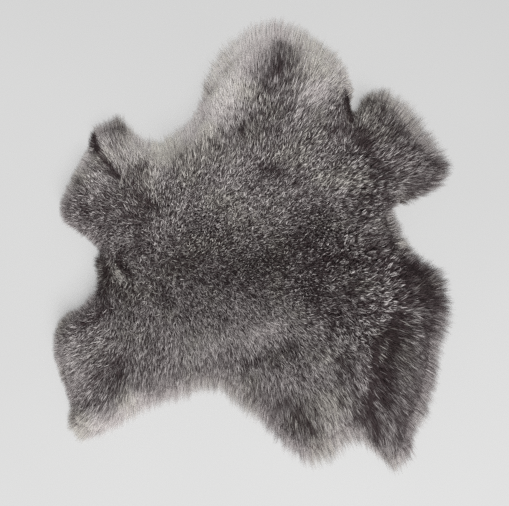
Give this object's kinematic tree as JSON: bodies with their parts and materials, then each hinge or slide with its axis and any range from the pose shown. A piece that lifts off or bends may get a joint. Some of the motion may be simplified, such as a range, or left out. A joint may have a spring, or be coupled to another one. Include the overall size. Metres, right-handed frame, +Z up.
{
  "type": "rabbit skin pelt",
  "caption": "Dressed rabbit skin with its grey-brown fur on, laid out flat fur side up, with foreleg and hind leg flaps, belly flaps and a soft fringe of longer hair.",
  "frame": {"origin": "on the surface the pelt lies on, under the middle of its outline", "axes": "+Z up out of the fur, X along the back from the neck at -X to the tail at +X, Y across from belly edge to belly edge"},
  "size_m": [0.3394, 0.3828, 0.0182],
  "materials": {
    "fur": "dense soft fur, salt-and-pepper warm grey with dark tips, paler on the belly edges",
    "hide": "dressed flesh side, matt suede"
  },
  "bodies": {
    "root": {"pelt": "fur"}
  },
  "joints": []
}
